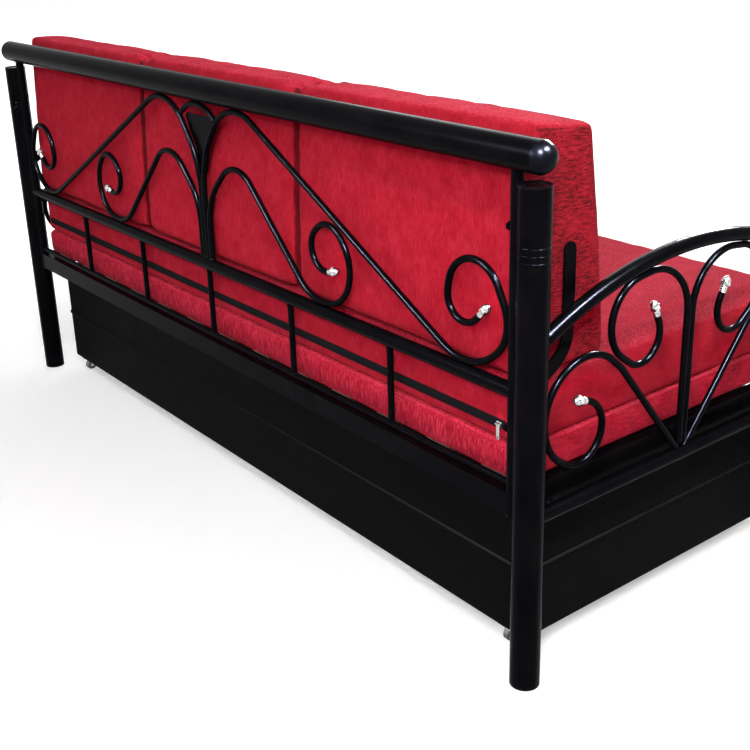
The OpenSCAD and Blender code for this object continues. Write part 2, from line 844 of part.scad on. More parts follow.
// Closed soft piece from its stations [x, inset, ...], the first and last at its ends
module soft_piece(rings, half_l, mid, draw) {
    m = len(rings);
    loft(
        concat(
            [shrunk(rings[0], mid, 0.6, -half_l + draw * 0.8)],
            rings,
            [shrunk(rings[m - 1], mid, 0.6, half_l - draw * 0.8)]
        ),
        [-half_l + draw, mid[0], mid[1]],
        [half_l - draw, mid[0], mid[1]]
    );
}

// Flat cushion with a crown, rounded edges and drawn-in sides
module flat_cushion(half_l, y0, y1, z0, z1, r, crown, draw) {
    body_shares = [0.08, 0.25, 0.5, 0.75, 0.92];
    ends = end_steps(r);
    stations = concat(
        [for (e = ends) [-half_l + e[0], e[1]]],
        [for (s = body_shares) [mix(-half_l, half_l, s), 0]],
        [for (e = flip(ends)) [half_l - e[0], e[1]]]
    );
    rings = [for (s = stations)
        let (swell = crown * (1 - pow(abs(s[0] / half_l), 6)), i = s[1])
        [for (p = section(y0 + i, y1 - i, z0 + i, z1 - i, r - i * 0.6, swell, draw))
            [s[0], p[0], p[1]]]];
    soft_piece(rings, half_l, [(y0 + y1) / 2, (z0 + z1) / 2], draw);
}

pad_z = seat_top + fit_gap;
mattress_z = pad_z + pad_h + fit_gap;
mattress_edge_z = mattress_z + mattress_h - crown_h;
seat_back_y = rear_y - seat_cushion_back;
cushion_l = 2 * (bar_x + stop_t - cushion_end_gap);
half_cushion = cushion_l / 2;

module lower_pad() {
    color(red) flat_cushion(half_cushion, seat_back_y - seat_cushion_d, seat_back_y,
        pad_z, pad_z + pad_h, cushion_edge_r, 0, draw_in / 2);
}

module upper_mattress() {
    color(red) flat_cushion(half_cushion, seat_back_y - seat_cushion_d, seat_back_y,
        mattress_z, mattress_edge_z, cushion_edge_r, crown_h, draw_in);
}

// Wedge in three sections, with a sewn channel between each two
module back_cushion() {
    sections = 3;
    r = 1.25 * cushion_edge_r;
    z0 = mattress_z + mattress_h + fit_gap;
    z1 = z0 + back_h - section_swell;
    y1 = rear_y - back_cushion_back;
    pitch = cushion_l / sections;
    seam_shares = [-1, -0.97, -0.9, -0.6, 0, 0.6, 0.9, 0.97];
    ends = end_steps(r);
    body = [for (k = [0:sections - 1]) for (s = seam_shares)
        let (x = (k - (sections - 1) / 2) * pitch + s * pitch / 2)
        if (abs(x) < half_cushion - 2 * r)
            [x, 0, pow(abs(s), 24), 1 - pow(s, 6)]];
    stations = concat(
        [for (e = ends) [-half_cushion + e[0], e[1], 0, 0]],
        body,
        [for (e = flip(ends)) [half_cushion - e[0], e[1], 0, 0]]
    );
    rings = [for (s = stations)
        let (i = s[1], g = s[2] * channel_depth)
        [for (p = section(y1 - back_foot_t + i + g, y1 - i - g / 2, z0 + i + g / 2, z1 - i - g,
                r - i * 0.6, s[3] * section_swell, 0))
            let (
                up = max(0, p[1] - z0) / back_h,
                lean = pow(up, 1.4),
                in = (y1 - p[0]) / back_foot_t
            )
            [
                s[0],
                y1 - lean * back_lean - in * mix(back_foot_t, back_top_t, lean),
                p[1] - in * up * up * back_drop
            ]]];
    mid = [y1 - back_foot_t * 0.45, z0 + back_h * 0.45];
    color(red) soft_piece(rings, half_cushion, mid, draw_in);
}

// Zip along the rear of the mattress
zip_z = mattress_z + zip_rise;
zip_half = half_cushion - zip_inset;
side_mid_z = (mattress_z + mattress_edge_z) / 2;
side_half_h = (mattress_edge_z - mattress_z) / 2 - cushion_edge_r;
function drawn_skin(t) = let (k = (t + 1) / 2 * side_steps, i = floor(k))
    mix(drawn(2 * i / side_steps - 1), drawn(2 * (i + 1) / side_steps - 1), k - i);
zip_low_share = max(-1, (zip_z - zip_tape_w / 2 - side_mid_z) / side_half_h);
zip_y = seat_back_y - draw_in * drawn_skin(zip_low_share) + fit_gap;
teeth_y = zip_y + zip_tape_t + zip_teeth_t;

module zip_tape() {
    color(plastic) {
        block([-zip_half, zip_y, zip_z - zip_tape_w / 2],
            [zip_half, zip_y + zip_tape_t, zip_z + zip_tape_w / 2]);
        block([-zip_half, zip_y + zip_tape_t, zip_z - zip_teeth_w / 2],
            [zip_half, teeth_y, zip_z + zip_teeth_w / 2]);
    }
}

// The slider straddles the teeth; its pin carries the pull tab
slider_x = -zip_half + slider_l;
slider_skin = zip_tape_t;
slider_y = teeth_y + fit_gap + slider_skin;
pin_d = slider_w / 5;
pin_y = slider_y + pin_d;
ear_t = (slider_l - tab_w) / 2 - fit_gap;

module zip_slider() {
    low_y = zip_y + zip_tape_t + fit_gap;
    room = zip_teeth_w / 2 + fit_gap;
    color(chrome) translate([slider_x, 0, zip_z]) {
        difference() {
            block([-slider_l / 2, low_y, -slider_w / 2], [slider_l / 2, slider_y, slider_w / 2]);
            block([-slider_l, low_y - cut, -room], [slider_l, teeth_y + fit_gap, room]);
        }
        for (side = [-1, 1])
            translate([side * (slider_l - ear_t) / 2, 0, 0]) {
                translate([-ear_t / 2, slider_y, -pin_d]) cube([ear_t, pin_d, 2 * pin_d]);
                translate([0, pin_y, 0]) rotate([0, 90, 0])
                    cylinder(r = pin_d, h = ear_t, center = true);
            }
        translate([0, pin_y, 0]) rotate([0, 90, 0])
            cylinder(d = pin_d, h = slider_l - ear_t, center = true);
    }
}

module zip_tab() {
    eye_r = pin_d - fit_gap / 2;
    color(chrome) translate([slider_x, pin_y, zip_z])
        difference() {
            union() {
                rotate([0, 90, 0]) cylinder(r = eye_r, h = tab_w, center = true);
                block([-tab_w / 2, -eye_r / 2, -tab_l + tab_w / 2], [tab_w / 2, eye_r / 2, 0]);
                translate([0, eye_r / 2, -tab_l + tab_w / 2]) rotate([90, 0, 0])
                    cylinder(d = tab_w, h = eye_r);
            }
            rotate([0, 90, 0]) cylinder(d = pin_d + fit_gap, h = tab_w + cut, center = true);
            translate([0, cut, -tab_l + tab_w / 2]) rotate([90, 0, 0])
                cylinder(d = tab_w / 2, h = 2 * cut);
        }
}

// Storage box on casters
box_x = post_x - post_r - box_side_gap;
box_in = box_x - box_wall;
box_y1 = rear_y - box_back;
box_y0 = box_y1 - box_d;
box_top = box_z + box_h;
box_in_y1 = box_y1 - box_wall - fit_gap;
box_in_y0 = box_y0 + box_wall + fit_gap;

module box_panel(y) {
    color(board) block([-box_x, y, box_z], [box_x, y + box_wall, box_top]);
}

module box_side(side) {
    color(board) at_side(side) block([box_in, box_in_y0, box_z], [box_x, box_in_y1, box_top]);
}

module box_floor() {
    color(board) block([-box_in + fit_gap, box_in_y0, box_z],
        [box_in - fit_gap, box_in_y1, box_z + box_floor_t]);
}

// Raised bead round the rear and the ends
module bead(l) {
    rotate([90, 0, 90]) linear_extrude(l, center = true)
        polygon([[0, -bead_w / 2], [bead_t, -bead_w / 4], [bead_t, bead_w / 4], [0, bead_w / 2]]);
}

module box_beads() {
    z = box_z + bead_rise;
    color(board) {
        translate([0, box_y1 + fit_gap, z]) bead(2 * box_x);
        both_sides() translate([box_x + fit_gap, (box_y0 + box_y1) / 2, z])
            rotate([0, 0, -90]) bead(box_d);
    }
}

lid_z = box_top - lid_t;
module lid_ledges() {
    z1 = lid_z - fit_gap;
    in_x = box_in - fit_gap;
    color(timber) {
        for (y = [box_in_y0, box_in_y1 - lid_t])
            block([-in_x, y, z1 - lid_t], [in_x, y + lid_t, z1]);
        block([-lid_t, box_in_y0 + lid_t, z1 - lid_t], [lid_t, box_in_y1 - lid_t, z1]);
    }
}

module box_lid(side) {
    color(board) at_side(side) difference() {
        block([fit_gap, box_in_y0 + fit_gap, lid_z], [box_in - fit_gap, box_in_y1 - fit_gap, box_top]);
        for (y = [box_in_y0 + 2 * finger_d, box_in_y1 - 2 * finger_d])
            translate([box_in / 2, y, lid_z - cut]) cylinder(d = finger_d, h = lid_t + 2 * cut);
    }
}

module pull_handles() {
    r = handle_d;
    half = handle_l / 2;
    far = handle_reach - handle_d / 2;
    color(chrome) for (side = [-1, 1])
        translate([side * box_x / 2, box_y0 - fit_gap, box_z + handle_rise]) {
            rod_path([[r - half, r - far, r, 1], [half - r, r - far, r, 1]], 180, 0, handle_d);
            end_rod([-half, r - far], [-half, 0], handle_d);
            end_rod([half, r - far], [half, 0], handle_d);
        }
}

// Nylon studs guide the box: the upper ones run under the seat's side rails, the lower
// ones keep its rear corners clear of the posts
stud_z = seat_z - fit_gap - stud_d / 2;
module guide_studs() {
    low = [box_y1 - stud_d, box_z + bead_rise + bead_w + stud_d / 2];
    color(plastic) both_sides() translate([box_x + fit_gap, 0, 0]) {
        for (y = [box_y1 - 3 * stud_d, box_y0 + 3 * stud_d]) {
            translate([0, y, stud_z]) rotate([0, 90, 0]) cylinder(d = stud_d, h = stud_reach);
            translate([0, y - stud_d / 2, stud_z - 2 * stud_d]) cube([lug_t, stud_d, 2 * stud_d]);
        }
        translate([0, low[0], low[1]]) rotate([0, 90, 0]) cylinder(d = stud_d, h = stud_reach);
    }
}

// Fixed casters. The wheels stand on the floor.
wheel_z = wheel_d / 2;
caster_x = box_x - caster_end;
caster_rear_y = box_y1 - caster_side;
caster_front_y = box_y0 + caster_side;
cheek_x = wheel_w / 2 + 2 * fit_gap;

module caster_bracket() {
    reach = cheek_x + bracket_t;
    plate_z = box_z - fit_gap - bracket_t;
    translate([-reach - 3 * bracket_t, -wheel_d * 0.6, plate_z])
        cube([2 * reach + 6 * bracket_t, wheel_d * 1.2, bracket_t]);
    both_sides() translate([cheek_x, 0, 0]) {
        translate([0, -axle_d, wheel_z]) cube([bracket_t, 2 * axle_d, plate_z - wheel_z]);
        translate([0, 0, wheel_z]) rotate([0, 90, 0]) cylinder(r = axle_d, h = bracket_t);
    }
    translate([0, 0, wheel_z]) rotate([0, 90, 0])
        cylinder(d = axle_d, h = 2 * reach + bracket_t, center = true);
}

module caster_brackets() {
    color(chrome) for (y = [caster_rear_y, caster_front_y]) both_sides()
        translate([caster_x, y, 0]) caster_bracket();
}

module caster_wheel(side, y) {
    chamfer = wheel_w / 8;
    half = wheel_w / 2;
    color(plastic) translate([side * caster_x, y, wheel_z]) rotate([0, 90, 0])
        rotate_extrude() polygon([
            [axle_d / 2 + fit_gap / 3, -half], [wheel_z - chamfer, -half], [wheel_z, chamfer - half],
            [wheel_z, half - chamfer], [wheel_z - chamfer, half], [axle_d / 2 + fit_gap / 3, half]
        ]);
}

rear_post(1);  // rear_post_left
rear_post(-1);  // rear_post_right
front_post(1);  // front_post_left
front_post(-1);  // front_post_right
post_caps();
post_feet();
top_tube();
top_tube_caps();
side_bar(1);  // side_bar_left
side_bar(-1);  // side_bar_right
lower_rail();
balusters();
bottom_rod();
rear_rail();
outer_scroll(1);  // outer_scroll_left
outer_scroll(-1);  // outer_scroll_right
inner_scroll(1);  // inner_scroll_left
inner_scroll(-1);  // inner_scroll_right
centre_arch();
centre_plate();
back_finials();
arm_tube(1);  // arm_tube_left
arm_tube(-1);  // arm_tube_right
arm_rail(1);  // arm_rail_left
arm_rail(-1);  // arm_rail_right
arm_scrolls(1);  // arm_scrolls_left
arm_scrolls(-1);  // arm_scrolls_right
arm_loops(1);  // arm_loops_left
arm_loops(-1);  // arm_loops_right
arm_finials();
cushion_stops();
frame_bolts();
seat_front_rail();
seat_rail(1);  // seat_rail_left
seat_rail(-1);  // seat_rail_right
slat_ledges();
seat_slats();
lower_pad();
upper_mattress();
zip_tape();
back_cushion();
zip_slider();
zip_tab();
box_panel(box_y1 - box_wall);  // box_rear
box_panel(box_y0);  // box_front
box_side(1);  // box_side_left
box_side(-1);  // box_side_right
box_floor();
box_beads();
lid_ledges();
box_lid(1);  // box_lid_left
box_lid(-1);  // box_lid_right
pull_handles();
guide_studs();
caster_brackets();
caster_wheel(1, caster_rear_y);  // caster_wheel_1
caster_wheel(-1, caster_rear_y);  // caster_wheel_2
caster_wheel(1, caster_front_y);  // caster_wheel_3
caster_wheel(-1, caster_front_y);  // caster_wheel_4
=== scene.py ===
import json
import math

import bpy
import numpy as np
from mathutils import Matrix, Vector, noise


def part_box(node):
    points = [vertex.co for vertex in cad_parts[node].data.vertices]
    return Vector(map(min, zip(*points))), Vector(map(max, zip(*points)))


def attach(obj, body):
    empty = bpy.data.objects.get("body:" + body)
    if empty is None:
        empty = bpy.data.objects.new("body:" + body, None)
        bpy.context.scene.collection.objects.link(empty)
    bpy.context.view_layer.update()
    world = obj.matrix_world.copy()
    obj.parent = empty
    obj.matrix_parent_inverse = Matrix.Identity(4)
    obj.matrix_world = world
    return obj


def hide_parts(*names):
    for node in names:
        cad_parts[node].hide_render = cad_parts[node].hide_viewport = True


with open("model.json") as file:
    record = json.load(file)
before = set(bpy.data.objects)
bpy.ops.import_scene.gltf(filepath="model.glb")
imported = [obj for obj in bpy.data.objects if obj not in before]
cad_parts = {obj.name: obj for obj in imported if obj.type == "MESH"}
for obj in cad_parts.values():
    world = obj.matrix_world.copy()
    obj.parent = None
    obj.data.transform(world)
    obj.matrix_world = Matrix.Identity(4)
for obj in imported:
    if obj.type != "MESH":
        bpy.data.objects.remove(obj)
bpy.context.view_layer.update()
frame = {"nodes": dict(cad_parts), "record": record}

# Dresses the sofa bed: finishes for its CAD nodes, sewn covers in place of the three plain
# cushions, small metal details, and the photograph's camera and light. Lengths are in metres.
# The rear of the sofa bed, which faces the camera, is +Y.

NODES = frame["nodes"]

# ---------------------------------------------------------------- camera
# Place and direction found by solving the photograph's view of the frame
CAMERA_AT = Vector((-2.0682, 1.5287, 1.2213))
AZIMUTH, ELEVATION, ROLL = (math.radians(a) for a in (232.67, 20.89, -1.78))
LENS_MM, SENSOR_MM = 55.24, 36
SHIFT = (0.00633, -0.04393)


def make_camera():
    right = Vector((math.cos(AZIMUTH), math.sin(AZIMUTH), 0))
    back = Vector((math.sin(AZIMUTH) * math.cos(ELEVATION),
                   -math.cos(AZIMUTH) * math.cos(ELEVATION), math.sin(ELEVATION)))
    up = back.cross(right)
    right, up = (right * math.cos(ROLL) + up * math.sin(ROLL),
                 up * math.cos(ROLL) - right * math.sin(ROLL))
    data = bpy.data.cameras.new("camera")
    data.sensor_width = SENSOR_MM
    data.lens = LENS_MM
    data.shift_x, data.shift_y = SHIFT
    data.clip_start, data.clip_end = 0.05, 60
    cam = bpy.data.objects.new("camera", data)
    turn = Matrix((right, up, back)).transposed().to_4x4()
    cam.matrix_world = Matrix.Translation(CAMERA_AT) @ turn
    bpy.context.scene.collection.objects.link(cam)
    bpy.context.scene.camera = cam


# ---------------------------------------------------------------- materials
class Shade:
    """A material's node tree, with short calls for the nodes used here."""

    def __init__(self, name):
        self.mat = bpy.data.materials.new(name)
        self.mat.use_nodes = True
        self.tree = self.mat.node_tree
        self.bsdf = self.tree.nodes["Principled BSDF"]
        self.at = self.node("ShaderNodeTexCoord").outputs["Object"]

    def node(self, kind, **settings):
        n = self.tree.nodes.new(kind)
        for key, value in settings.items():
            setattr(n, key, value)
        return n

    def put(self, socket, value):
        if isinstance(value, bpy.types.NodeSocket):
            self.tree.links.new(value, socket)
        else:
            socket.default_value = value

    def scaled(self, scale):
        """Places in the object, times a scale along each axis."""
        n = self.node("ShaderNodeMapping")
        self.put(n.inputs["Vector"], self.at)
        n.inputs["Scale"].default_value = scale
        return n.outputs["Vector"]

    def split(self, vector):
        """The parts X, Y and Z of a vector."""
        n = self.node("ShaderNodeSeparateXYZ")
        self.put(n.inputs[0], vector)
        return n.outputs

    def noise(self, scale, detail=3.0, rough=0.5, at=None):
        n = self.node("ShaderNodeTexNoise")
        self.put(n.inputs["Vector"], at or self.at)
        n.inputs["Scale"].default_value = scale
        n.inputs["Detail"].default_value = detail
        n.inputs["Roughness"].default_value = rough
        return n.outputs["Fac"]

    def math(self, kind, a, b=0.0):
        n = self.node("ShaderNodeMath", operation=kind)
        for socket, value in zip(n.inputs, (a, b)):
            self.put(socket, value)
        return n.outputs[0]

    def swing(self, value, amount):
        """A noise's departure from its middle, times amount."""
        return self.math("MULTIPLY", self.math("SUBTRACT", value, 0.5), amount)

    def spread(self, value, low, high, to_low=0.0, to_high=1.0):
        n = self.node("ShaderNodeMapRange")
        for socket, v in zip(n.inputs, (value, low, high, to_low, to_high)):
            self.put(socket, v)
        return n.outputs["Result"]

    def blend(self, share, a, b, kind="RGBA"):
        n = self.node("ShaderNodeMix", data_type=kind)
        for key, value in (("Factor", share), ("A", a), ("B", b)):
            self.put(n.inputs[key], value)
        return n.outputs["Result"]

    def bump(self, height, distance, strength=1.0, normal=None):
        n = self.node("ShaderNodeBump")
        n.inputs["Strength"].default_value = strength
        n.inputs["Distance"].default_value = distance
        self.put(n.inputs["Height"], height)
        if normal:
            self.put(n.inputs["Normal"], normal)
        return n.outputs["Normal"]

    def finish(self, **inputs):
        for key, value in inputs.items():
            self.put(self.bsdf.inputs[key.replace("_", " ")], value)
        return self.mat


def rgb(r, g, b):
    """A colour written in the 0 to 255 steps of a screen, as linear light."""
    def linear(v):
        v /= 255
        return v / 12.92 if v <= 0.04045 else ((v + 0.055) / 1.055) ** 2.4
    return (linear(r), linear(g), linear(b), 1.0)


# The black finishes reflect very little of the white room, and that with a cool tint
COOL = rgb(205, 212, 255)


def paint():
    s = Shade("black_paint_coat")
    cloud = s.noise(14, 4)
    peel = s.noise(620, 2)
    speck = s.noise(2400, 1)
    colour = s.blend(s.spread(cloud, 0.35, 0.65), rgb(5, 5, 7), rgb(12, 10, 12))
    rough = s.spread(s.noise(40, 3), 0.3, 0.7, 0.17, 0.24)
    skin = s.bump(peel, 0.0002, 0.5, s.bump(speck, 0.00005, 0.3))
    return s.finish(Base_Color=colour, Roughness=rough, Normal=skin,
                    Specular_IOR_Level=0.014, Specular_Tint=COOL)


def plastic():
    s = Shade("black_plastic_moulded")
    grain = s.noise(1500, 2)
    colour = s.blend(s.noise(30, 3), rgb(8, 8, 11), rgb(16, 16, 20))
    rough = s.spread(s.noise(60, 3), 0.3, 0.7, 0.2, 0.32)
    return s.finish(Base_Color=colour, Roughness=rough, Normal=s.bump(grain, 0.0001, 0.5),
                    Specular_IOR_Level=0.03, Specular_Tint=COOL)


def chrome():
    s = Shade("chrome_plate")
    stain = s.spread(s.noise(260, 4), 0.3, 0.7)
    colour = s.blend(stain, rgb(150, 148, 146), rgb(222, 222, 224))
    rough = s.spread(s.noise(500, 3), 0.3, 0.7, 0.05, 0.14)
    pits = s.bump(s.noise(900, 3), 0.0001, 0.35)
    return s.finish(Base_Color=colour, Metallic=1.0, Roughness=rough, Normal=pits)


# Pile per metre along X, Y and Z where it stands, where it lies level, and seen from above
UPRIGHT_PILE, LEVEL_PILE, SHORT_PILE = (520, 520, 50), (50, 60, 420), (190, 320, 190)
# Half the width of the darkest painted shade in a sewn channel, and where that painted shade
# ends
SEAM_SHADE_CORE, SEAM_SHADE = 0.004, 0.013


def fabric(name, dark, base, light, streak=1.0, nap_and_end_shade=0.9, sewn=None):
    """Short-pile chenille: its pile stands upright on the long sides, with the contrast
    streak, and lies level on the ends, where it runs in dark ripples; the contrast of
    these ripples also sets a painted shade on the ends. The tops get a paler tone as a
    painted highlight. Sewn is the distance of the two sewn channels from the middle,
    along which the cover gets painted shade."""
    s = Shade(name)
    facing = s.split(s.node("ShaderNodeNewGeometry").outputs["True Normal"])
    on_end = s.spread(s.math("ABSOLUTE", facing["X"]), 0.5, 0.85)
    on_top = s.spread(facing["Z"], 0.45, 0.9)

    def by_side(side, end, top):
        return s.blend(on_top, s.blend(on_end, side, end, "FLOAT"), top, "FLOAT")

    upright = s.noise(1, 4, 0.6, s.scaled(UPRIGHT_PILE))
    ripple = s.node("ShaderNodeVectorMath", operation="ADD")
    s.put(ripple.inputs[0], s.scaled(LEVEL_PILE))
    s.put(ripple.inputs[1], s.math("MULTIPLY", s.noise(24, 2), 5.0))
    level = s.noise(1, 3, 0.55, ripple.outputs["Vector"])
    short = s.noise(1, 4, 0.65, s.scaled(SHORT_PILE))
    pile = by_side(upright, level, short)
    depth = by_side(0.35 * streak, nap_and_end_shade, 0.8)
    tuft = s.noise(800, 3, 0.7)
    brushed = s.noise(30, 4, 0.6)

    # Painted light: the tops start from a lighter tone as a painted highlight, and the ends
    # from a darker one, deeper with more contrast in the ripples, as painted shade
    tone = by_side(0.52, 0.58 - 0.5 * nap_and_end_shade, 0.7)
    for part in (s.math("MULTIPLY", s.swing(pile, depth), 2.2), s.swing(tuft, 0.5),
                 s.swing(brushed, 0.45)):
        tone = s.math("ADD", tone, part)
    # Painted shade: the cover darkens along each sewn channel, though not on the tops
    if sewn:
        across = s.math("ABSOLUTE", s.split(s.at)["X"])
        gap = s.math("ABSOLUTE", s.math("SUBTRACT", across, sewn))
        line = s.spread(gap, SEAM_SHADE_CORE, SEAM_SHADE, 0.6, 0.0)
        off_top = s.math("SUBTRACT", 1.0, on_top)
        tone = s.math("SUBTRACT", tone, s.math("MULTIPLY", line, off_top))
    low = s.blend(s.spread(tone, 0.05, 0.5), dark, base)
    colour = s.blend(s.spread(tone, 0.5, 1.0), low, light)
    relief = s.math("ADD", s.math("MULTIPLY", pile, depth), s.math("MULTIPLY", tuft, 0.3))
    skin = s.bump(relief, 0.0014, 0.55, s.bump(brushed, 0.003, 0.2))
    return s.finish(Base_Color=colour, Roughness=0.9, Normal=skin, Specular_IOR_Level=0.006,
                    Sheen_Weight=0.12, Sheen_Roughness=0.35, Sheen_Tint=rgb(255, 120, 140))


def board():
    s = Shade("black_board_laminate")
    grain = s.noise(1, 5, 0.6, s.scaled((3, 60, 160)))
    fleck = s.noise(900, 2)
    colour = s.blend(s.spread(grain, 0.35, 0.65), rgb(5, 5, 7), rgb(11, 10, 11))
    rough = s.spread(s.noise(25, 4), 0.3, 0.7, 0.42, 0.6)
    skin = s.bump(fleck, 0.00012, 0.5, s.bump(grain, 0.0003, 0.5))
    return s.finish(Base_Color=colour, Roughness=rough, Normal=skin, Specular_IOR_Level=0.008)


def slat_wood():
    s = Shade("slat_wood_grain")
    wave = s.node("ShaderNodeTexWave", bands_direction="X")
    s.put(wave.inputs["Vector"], s.scaled((30, 2.5, 30)))
    for key, value in (("Scale", 2.2), ("Distortion", 5.0), ("Detail", 3.0)):
        wave.inputs[key].default_value = value
    grain = s.noise(1, 5, 0.6, s.scaled((260, 9, 260)))
    tone = s.math("ADD", s.math("MULTIPLY", wave.outputs["Fac"], 0.5),
                  s.math("MULTIPLY", grain, 0.5))
    colour = s.blend(s.spread(tone, 0.25, 0.8), rgb(66, 43, 26), rgb(104, 72, 44))
    rough = s.spread(tone, 0.2, 0.8, 0.5, 0.65)
    return s.finish(Base_Color=colour, Roughness=rough, Normal=s.bump(tone, 0.0004, 0.5))


def tape():
    s = Shade("zip_tape_weave")
    rib = s.noise(1, 2, 0.5, s.scaled((900, 300, 300)))
    colour = s.blend(rib, rgb(6, 6, 9), rgb(20, 19, 23))
    return s.finish(Base_Color=colour, Roughness=0.75, Normal=s.bump(rib, 0.0003, 0.8),
                    Specular_IOR_Level=0.01)


def rubber():
    s = Shade("caster_rubber")
    dust = s.noise(160, 4)
    colour = s.blend(s.spread(dust, 0.4, 0.75), rgb(16, 16, 17), rgb(38, 37, 36))
    return s.finish(Base_Color=colour, Roughness=s.spread(dust, 0.3, 0.7, 0.55, 0.8),
                    Normal=s.bump(s.noise(1100, 2), 0.0002, 0.6), Specular_IOR_Level=0.25)


back_low, back_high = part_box("back_cushion")
SECTION = (back_high[0] - back_low[0]) / 3
# In each red the last colour is reached mostly on the tops, where it is a painted highlight,
# and the first on the ends and along the channels, where it is painted shade; the pile's own
# paler and deeper spots draw on both as well
RED = fabric("red_chenille", rgb(100, 6, 16), rgb(182, 22, 42), rgb(218, 58, 84))
RED_BACK = fabric("red_chenille_back", rgb(100, 6, 16), rgb(184, 22, 42), rgb(218, 58, 84),
                  nap_and_end_shade=0.65, sewn=SECTION / 2)
RED_SEAT = fabric("red_chenille_seat", rgb(108, 8, 18), rgb(178, 22, 42), rgb(214, 58, 84),
                  streak=0.8, nap_and_end_shade=0.2)
RED_PILE = fabric("red_chenille_pile", rgb(104, 6, 18), rgb(188, 26, 50), rgb(232, 70, 98),
                  streak=2.4, nap_and_end_shade=0.35)
FINISHES = {
    "black_paint": paint(), "black_plastic": plastic(), "chrome": chrome(),
    "red_fabric": RED, "black_tape": tape(), "slat_wood": slat_wood(),
    "black_board": board(), "black_rubber": rubber(),
}
SLOT_OF = {row["node"]: row["material_slot"] for row in frame["record"]["subparts"]}
# Edges that turn by more than this stay sharp
SHARP = math.radians(32)
# Stations nearer than this to an extra one are left out
STATION_GAP = 0.002
# Lengths under this are taken as this, where something is divided by them
TINY = 1e-9


def dress(obj, material):
    obj.data.materials.clear()
    obj.data.materials.append(material)


# ---------------------------------------------------------------- mesh helpers
def new_object(name, verts, faces, smooth=True):
    mesh = bpy.data.meshes.new(name)
    mesh.from_pydata([tuple(v) for v in verts], [], [tuple(f) for f in faces])
    mesh.validate()
    mesh.update()
    if smooth:
        mesh.shade_smooth()
    obj = bpy.data.objects.new(name, mesh)
    bpy.context.scene.collection.objects.link(obj)
    return obj


def points_of(obj):
    co = np.zeros(len(obj.data.vertices) * 3)
    obj.data.vertices.foreach_get("co", co)
    return co.reshape(-1, 3)


def set_points(obj, co):
    obj.data.vertices.foreach_set("co", co.astype(np.float32).ravel())
    obj.data.update()


def apply_all(obj):
    """Replaces the mesh by what its modifiers make of it."""
    dg = bpy.context.evaluated_depsgraph_get()
    made = bpy.data.meshes.new_from_object(obj.evaluated_get(dg))
    obj.modifiers.clear()
    old = obj.data
    obj.data = made
    bpy.data.meshes.remove(old)


def lengths(vectors):
    return np.maximum(np.linalg.norm(vectors, axis=1, keepdims=True), TINY)


def stations(low, high, step, dense=()):
    """Even steps from low to high, with the extra places of dense among them."""
    even = np.linspace(low, high, max(2, round((high - low) / step) + 1))
    ends = (even[0], even[-1])
    clear = [v for v in even if v in ends or not len(dense)
             or np.min(np.abs(np.array(dense) - v)) > STATION_GAP]
    return np.array(sorted(set(clear) | set(dense)))


def box_grid(lines):
    """Points and quads on the skin of a box whose stations along each axis are given."""
    n = [len(line) - 1 for line in lines]
    index, verts, faces = {}, [], []

    def at(*key):
        if key not in index:
            index[key] = len(verts)
            verts.append([lines[axis][key[axis]] for axis in range(3)])
        return index[key]

    for axis in range(3):
        u, v = [a for a in range(3) if a != axis]
        for end in (0, n[axis]):
            for i in range(n[u]):
                for j in range(n[v]):
                    quad = []
                    for di, dj in ((0, 0), (1, 0), (1, 1), (0, 1)):
                        key = [0, 0, 0]
                        key[axis], key[u], key[v] = end, i + di, j + dj
                        quad.append(at(*key))
                    if (end == 0) != (axis == 1):
                        quad.reverse()
                    faces.append(quad)
    return np.array(verts, float), faces


def rounded(co, low, high, r):
    """Moves points on a box's skin to the skin of the same box with edges of radius r."""
    inner = np.clip(co, np.array(low) + r, np.array(high) - r)
    away = co - inner
    return inner + r * away / lengths(away)


make_camera()

# ---------------------------------------------------------------- CAD nodes
for name, obj in NODES.items():
    obj.data.shade_smooth()
    obj.data.set_sharp_from_angle(angle=SHARP)
    dress(obj, FINISHES[SLOT_OF[name]])

# ---------------------------------------------------------------- soft goods
# Frames of cloth run for each cover
CLOTH_FRAMES = 20
# Where a sewn channel gets extra stations, from its middle
SEAM_STATIONS = (-0.012, -0.008, -0.004, 0, 0.004, 0.008, 0.012)
# Least distance of a cover from its solid's box, and from the box's rear
BOX_GAP = 0.0003
REAR_GAP = 0.0008
# A point this near to a side of a box is on it
ON_SKIN = 1e-4


def wave_noise(co, scale, seed):
    """Smooth noise at each point, about -1 to 1."""
    off = Vector((seed * 7.3, seed * 3.1, seed * 5.7))
    return np.array([noise.noise(Vector(p) * scale + off) for p in co])


def inflate(obj, pins, pressure, shrink, cap):
    """Runs the cover as cloth under inner pressure, and keeps the result. No point moves
    further than cap."""
    start = points_of(obj)
    pins = np.round(pins, 2)
    group = obj.vertex_groups.new(name="pins")
    for weight in sorted(set(pins)):
        if weight > 0:
            group.add([int(i) for i in np.where(pins == weight)[0]], float(weight), "REPLACE")
    cloth = obj.modifiers.new("cover", "CLOTH")
    c = cloth.settings
    c.quality = 5
    c.mass = 0.3
    c.tension_stiffness = c.compression_stiffness = 20
    c.shear_stiffness = 8
    c.bending_stiffness = 1.5
    c.use_pressure = True
    c.uniform_pressure_force = pressure
    c.shrink_min = shrink
    c.vertex_group_mass = "pins"
    c.pin_stiffness = 1.5
    c.effector_weights.gravity = 0
    cloth.collision_settings.use_collision = False
    cloth.point_cache.frame_start, cloth.point_cache.frame_end = 1, CLOTH_FRAMES
    scene = bpy.context.scene
    for f in range(1, CLOTH_FRAMES + 1):
        scene.frame_set(f)
    apply_all(obj)
    scene.frame_set(1)
    obj.vertex_groups.clear()
    move = points_of(obj) - start
    set_points(obj, start + move * np.minimum(1, cap / lengths(move)))


def subdivide(obj):
    mod = obj.modifiers.new("finer", "SUBSURF")
    mod.levels = mod.render_levels = 1
    apply_all(obj)


